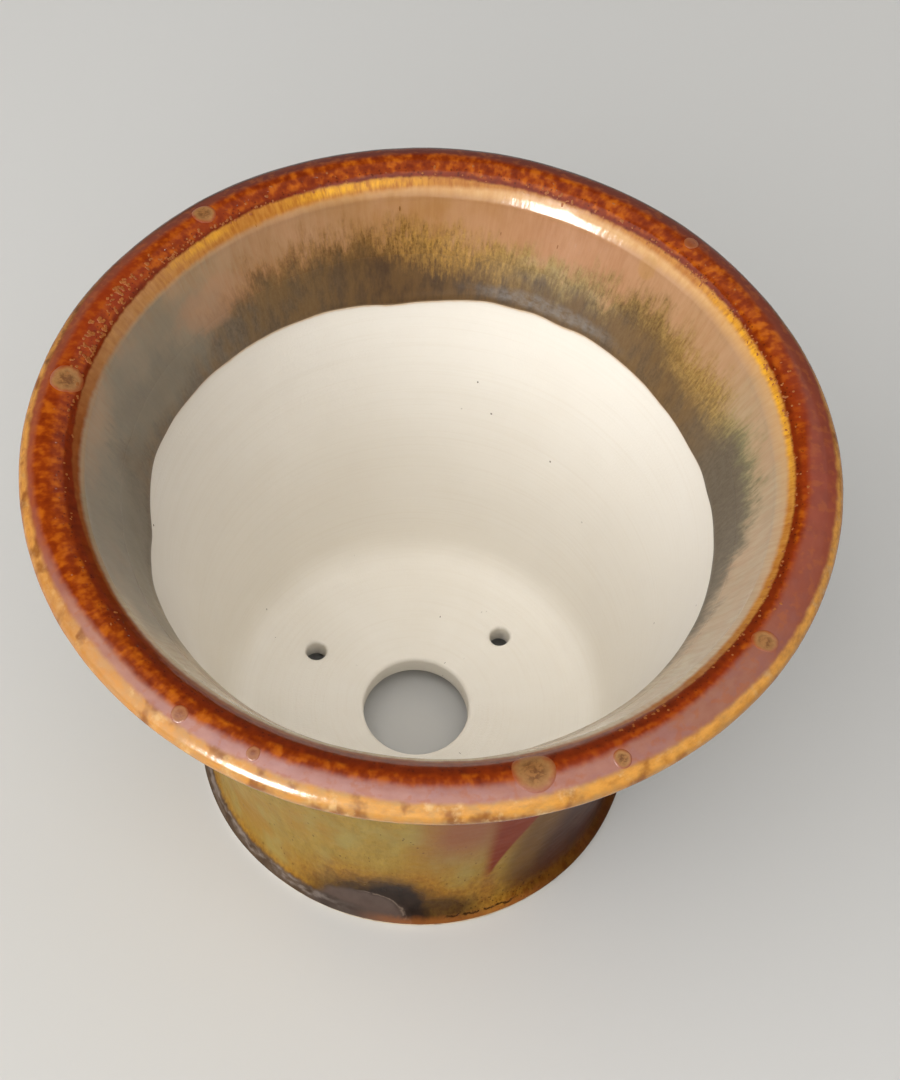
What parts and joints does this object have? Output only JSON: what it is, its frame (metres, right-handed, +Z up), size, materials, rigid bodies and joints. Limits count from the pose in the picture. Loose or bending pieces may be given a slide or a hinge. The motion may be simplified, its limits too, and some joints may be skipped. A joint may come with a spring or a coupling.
{
  "type": "bonsai pot",
  "caption": "Round bonsai pot with a flared glazed lip, bare clay inside, a drain hole and tie-wire holes, standing on a foot ring.",
  "frame": {"origin": "centre of the foot, on the surface that the pot stands on", "axes": "+Z up along the pot's axis; X and Y along the sides of the rectangle of wire holes, with the two holes that the picture shows at +Y"},
  "size_m": [0.1498, 0.1498, 0.1134],
  "materials": {
    "bare_clay": "matte cream stoneware with fine throwing rings",
    "foot_clay": "matte stoneware, slightly smoothed where it stands",
    "outer_glaze": "glossy olive to amber glaze with dark metallic patches",
    "foot_glaze": "glossy orange-brown glaze, thin at its edge",
    "lip_glaze": "glossy mottled amber and mauve glaze",
    "collar_glaze": "satin streaked tan and taupe glaze",
    "crystal": "satin tan crystals"
  },
  "bodies": {
    "root": {"clay_body": "bare_clay", "foot_ring": "foot_clay", "outer_glaze": "outer_glaze", "foot_glaze": "foot_glaze", "lip_glaze": "lip_glaze", "collar_glaze": "collar_glaze", "crystal_blooms": "crystal"}
  },
  "joints": []
}
